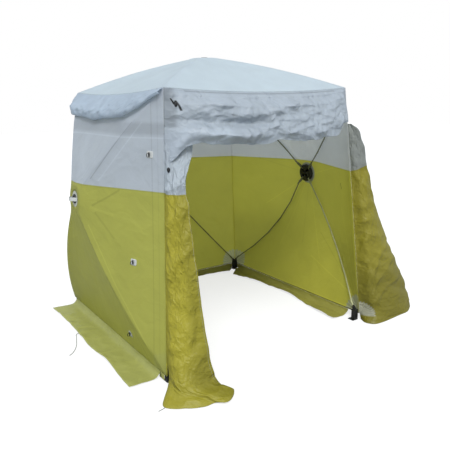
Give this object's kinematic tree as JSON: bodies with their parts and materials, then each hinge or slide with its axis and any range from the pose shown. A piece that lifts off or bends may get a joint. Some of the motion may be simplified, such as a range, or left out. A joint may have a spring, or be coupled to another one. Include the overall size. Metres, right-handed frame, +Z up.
{
  "type": "pop-up work tent",
  "caption": "Square pop-up work tent with an open front: three walls and a roof, each stretched by a hub with hinged, bowed rods between corner brackets.",
  "frame": {"origin": "on the ground, at the middle of the tent's bounding box without its loose cords", "axes": "+Z up; the open front faces -Y and +X is to the right as seen from in front"},
  "size_m": [2.6088, 2.3466, 2.008],
  "materials": {
    "wall_cloth": "coated woven polyester, yellow below a seam and white above it",
    "roof_cloth": "coated woven polyester, white",
    "header_cloth": "coated woven polyester, white, crumpled",
    "hood_cloth": "coated woven polyester, white",
    "drape_cloth": "coated woven polyester, yellow with a white top, creased",
    "skirt_cloth": "coated woven polyester, yellow",
    "bracket_nylon": "moulded glass-filled nylon, black",
    "hub_nylon": "moulded glass-filled nylon, black",
    "hub_cap_nylon": "moulded nylon, black",
    "hook_nylon": "moulded acetal, black",
    "glassfibre_rod": "pultruded glass-fibre rod, pale grey, with crimped metal ferrules",
    "hub_patch_cloth": "laminated reinforcement cloth, grey-white",
    "webbing_white": "woven polyester webbing, white",
    "cord_grey": "braided polyester cord, grey"
  },
  "bodies": {
    "root": {"back_wall": "wall_cloth", "corner_bracket_fl_bottom": "bracket_nylon", "corner_bracket_fl_top": "bracket_nylon", "corner_bracket_fr_bottom": "bracket_nylon", "corner_bracket_fr_top": "bracket_nylon", "corner_bracket_rl_bottom": "bracket_nylon", "corner_bracket_rl_top": "bracket_nylon", "corner_bracket_rr_bottom": "bracket_nylon", "corner_bracket_rr_top": "bracket_nylon", "door_hook": "hook_nylon", "drape_draw_cord": "cord_grey", "drape_left": "drape_cloth", "drape_right": "drape_cloth", "front_header": "header_cloth", "guy_hook_lower": "hook_nylon", "guy_hook_middle": "hook_nylon", "guy_hook_upper": "hook_nylon", "header_buckle": "hook_nylon", "left_wall": "wall_cloth", "right_wall": "wall_cloth", "roof_canopy": "roof_cloth", "skirt_back": "skirt_cloth", "skirt_left": "skirt_cloth", "skirt_right": "skirt_cloth", "tie_cord": "cord_grey", "vent_hood_left": "hood_cloth"},
    "hub_left_body": {"hub_left": "hub_nylon", "hub_patch_left": "hub_patch_cloth", "hub_cap_left": "hub_cap_nylon", "pull_strap_left": "webbing_white"},
    "rod_left_rl_bottom_body": {"rod_left_rl_bottom": "glassfibre_rod"},
    "rod_left_fl_bottom_body": {"rod_left_fl_bottom": "glassfibre_rod"},
    "rod_left_fl_top_body": {"rod_left_fl_top": "glassfibre_rod"},
    "rod_left_rl_top_body": {"rod_left_rl_top": "glassfibre_rod"},
    "hub_right_body": {"hub_right": "hub_nylon", "hub_patch_right": "hub_patch_cloth", "hub_cap_right": "hub_cap_nylon", "pull_strap_right": "webbing_white"},
    "rod_right_fr_bottom_body": {"rod_right_fr_bottom": "glassfibre_rod"},
    "rod_right_rr_bottom_body": {"rod_right_rr_bottom": "glassfibre_rod"},
    "rod_right_rr_top_body": {"rod_right_rr_top": "glassfibre_rod"},
    "rod_right_fr_top_body": {"rod_right_fr_top": "glassfibre_rod"},
    "hub_back_body": {"hub_back": "hub_nylon", "hub_patch_back": "hub_patch_cloth", "hub_cap_back": "hub_cap_nylon", "pull_strap_back": "webbing_white"},
    "rod_back_rr_bottom_body": {"rod_back_rr_bottom": "glassfibre_rod"},
    "rod_back_rl_bottom_body": {"rod_back_rl_bottom": "glassfibre_rod"},
    "rod_back_rl_top_body": {"rod_back_rl_top": "glassfibre_rod"},
    "rod_back_rr_top_body": {"rod_back_rr_top": "glassfibre_rod"},
    "hub_roof_body": {"hub_roof": "hub_nylon", "hub_patch_roof": "hub_patch_cloth", "hub_cap_roof": "hub_cap_nylon"},
    "rod_roof_fl_top_body": {"rod_roof_fl_top": "glassfibre_rod"},
    "rod_roof_fr_top_body": {"rod_roof_fr_top": "glassfibre_rod"},
    "rod_roof_rr_top_body": {"rod_roof_rr_top": "glassfibre_rod"},
    "rod_roof_rl_top_body": {"rod_roof_rl_top": "glassfibre_rod"}
  },
  "joints": [
    {"name": "left_hub_slide", "type": "slide", "parent": "root", "child": "hub_left_body", "axis": [0.9976, 0, -0.0688], "range_m": [0, 0.5488]},
    {"name": "left_rl_bottom_rod_hinge", "type": "hinge", "parent": "root", "child": "rod_left_rl_bottom_body", "pos_m": [-0.9637, 0.88139, 0.10166], "axis": [0.0447, 0.7594, 0.6491], "range_deg": [0, 26.38]},
    {"name": "left_fl_bottom_rod_hinge", "type": "hinge", "parent": "root", "child": "rod_left_fl_bottom_body", "pos_m": [-0.9637, -0.72803, 0.10166], "axis": [-0.0447, 0.7594, -0.6491], "range_deg": [0, 26.38]},
    {"name": "left_fl_top_rod_hinge", "type": "hinge", "parent": "root", "child": "rod_left_fl_top_body", "pos_m": [-0.8523, -0.60556, 1.71799], "axis": [-0.0487, -0.7064, -0.7061], "range_deg": [0, 34.05]},
    {"name": "left_rl_top_rod_hinge", "type": "hinge", "parent": "root", "child": "rod_left_rl_top_body", "pos_m": [-0.8523, 0.75893, 1.71799], "axis": [0.0487, -0.7064, 0.7061], "range_deg": [0, 34.05]},
    {"name": "right_hub_slide", "type": "slide", "parent": "root", "child": "hub_right_body", "axis": [-0.9976, 0, -0.0688], "range_m": [0, 0.5488]},
    {"name": "right_fr_bottom_rod_hinge", "type": "hinge", "parent": "root", "child": "rod_right_fr_bottom_body", "pos_m": [0.69219, -0.72803, 0.10166], "axis": [-0.0447, -0.7594, 0.6491], "range_deg": [0, 26.38]},
    {"name": "right_rr_bottom_rod_hinge", "type": "hinge", "parent": "root", "child": "rod_right_rr_bottom_body", "pos_m": [0.69219, 0.88139, 0.10166], "axis": [0.0447, -0.7594, -0.6491], "range_deg": [0, 26.38]},
    {"name": "right_rr_top_rod_hinge", "type": "hinge", "parent": "root", "child": "rod_right_rr_top_body", "pos_m": [0.58078, 0.75893, 1.71799], "axis": [0.0487, 0.7064, -0.7061], "range_deg": [0, 34.05]},
    {"name": "right_fr_top_rod_hinge", "type": "hinge", "parent": "root", "child": "rod_right_fr_top_body", "pos_m": [0.58078, -0.60556, 1.71799], "axis": [-0.0487, 0.7064, 0.7061], "range_deg": [0, 34.05]},
    {"name": "back_hub_slide", "type": "slide", "parent": "root", "child": "hub_back_body", "axis": [0, -0.9976, -0.0688], "range_m": [0, 0.5488]},
    {"name": "back_rr_bottom_rod_hinge", "type": "hinge", "parent": "root", "child": "rod_back_rr_bottom_body", "pos_m": [0.66895, 0.90463, 0.10166], "axis": [0.7594, -0.0447, 0.6491], "range_deg": [0, 26.38]},
    {"name": "back_rl_bottom_rod_hinge", "type": "hinge", "parent": "root", "child": "rod_back_rl_bottom_body", "pos_m": [-0.94047, 0.90463, 0.10166], "axis": [0.7594, 0.0447, -0.6491], "range_deg": [0, 26.38]},
    {"name": "back_rl_top_rod_hinge", "type": "hinge", "parent": "root", "child": "rod_back_rl_top_body", "pos_m": [-0.818, 0.79322, 1.71799], "axis": [-0.7064, 0.0487, -0.7061], "range_deg": [0, 34.05]},
    {"name": "back_rr_top_rod_hinge", "type": "hinge", "parent": "root", "child": "rod_back_rr_top_body", "pos_m": [0.54649, 0.79322, 1.71799], "axis": [-0.7064, -0.0487, 0.7061], "range_deg": [0, 34.05]},
    {"name": "roof_hub_slide", "type": "slide", "parent": "root", "child": "hub_roof_body", "axis": [0, 0, -1], "range_m": [0, 0.4568]},
    {"name": "roof_fl_top_rod_hinge", "type": "hinge", "parent": "root", "child": "rod_roof_fl_top_body", "pos_m": [-0.81926, -0.60682, 1.75], "axis": [-0.7071, 0.7071, 0], "range_deg": [0, 28.44]},
    {"name": "roof_fr_top_rod_hinge", "type": "hinge", "parent": "root", "child": "rod_roof_fr_top_body", "pos_m": [0.54774, -0.60682, 1.75], "axis": [-0.7071, -0.7071, 0], "range_deg": [0, 28.44]},
    {"name": "roof_rr_top_rod_hinge", "type": "hinge", "parent": "root", "child": "rod_roof_rr_top_body", "pos_m": [0.54774, 0.76018, 1.75], "axis": [0.7071, -0.7071, 0], "range_deg": [0, 28.44]},
    {"name": "roof_rl_top_rod_hinge", "type": "hinge", "parent": "root", "child": "rod_roof_rl_top_body", "pos_m": [-0.81926, 0.76018, 1.75], "axis": [0.7071, 0.7071, 0], "range_deg": [0, 28.44]}
  ],
  "couplings": [
    {"joint": "left_rl_bottom_rod_hinge", "follows": "left_hub_slide", "rad_per_m": 0.83871},
    {"joint": "left_fl_bottom_rod_hinge", "follows": "left_hub_slide", "rad_per_m": 0.83871},
    {"joint": "left_fl_top_rod_hinge", "follows": "left_hub_slide", "rad_per_m": 1.0825},
    {"joint": "left_rl_top_rod_hinge", "follows": "left_hub_slide", "rad_per_m": 1.0825},
    {"joint": "right_fr_bottom_rod_hinge", "follows": "right_hub_slide", "rad_per_m": 0.83871},
    {"joint": "right_rr_bottom_rod_hinge", "follows": "right_hub_slide", "rad_per_m": 0.83871},
    {"joint": "right_rr_top_rod_hinge", "follows": "right_hub_slide", "rad_per_m": 1.0825},
    {"joint": "right_fr_top_rod_hinge", "follows": "right_hub_slide", "rad_per_m": 1.0825},
    {"joint": "back_rr_bottom_rod_hinge", "follows": "back_hub_slide", "rad_per_m": 0.83871},
    {"joint": "back_rl_bottom_rod_hinge", "follows": "back_hub_slide", "rad_per_m": 0.83871},
    {"joint": "back_rl_top_rod_hinge", "follows": "back_hub_slide", "rad_per_m": 1.0825},
    {"joint": "back_rr_top_rod_hinge", "follows": "back_hub_slide", "rad_per_m": 1.0825},
    {"joint": "roof_fl_top_rod_hinge", "follows": "roof_hub_slide", "rad_per_m": 1.0863},
    {"joint": "roof_fr_top_rod_hinge", "follows": "roof_hub_slide", "rad_per_m": 1.0863},
    {"joint": "roof_rr_top_rod_hinge", "follows": "roof_hub_slide", "rad_per_m": 1.0863},
    {"joint": "roof_rl_top_rod_hinge", "follows": "roof_hub_slide", "rad_per_m": 1.0863}
  ]
}
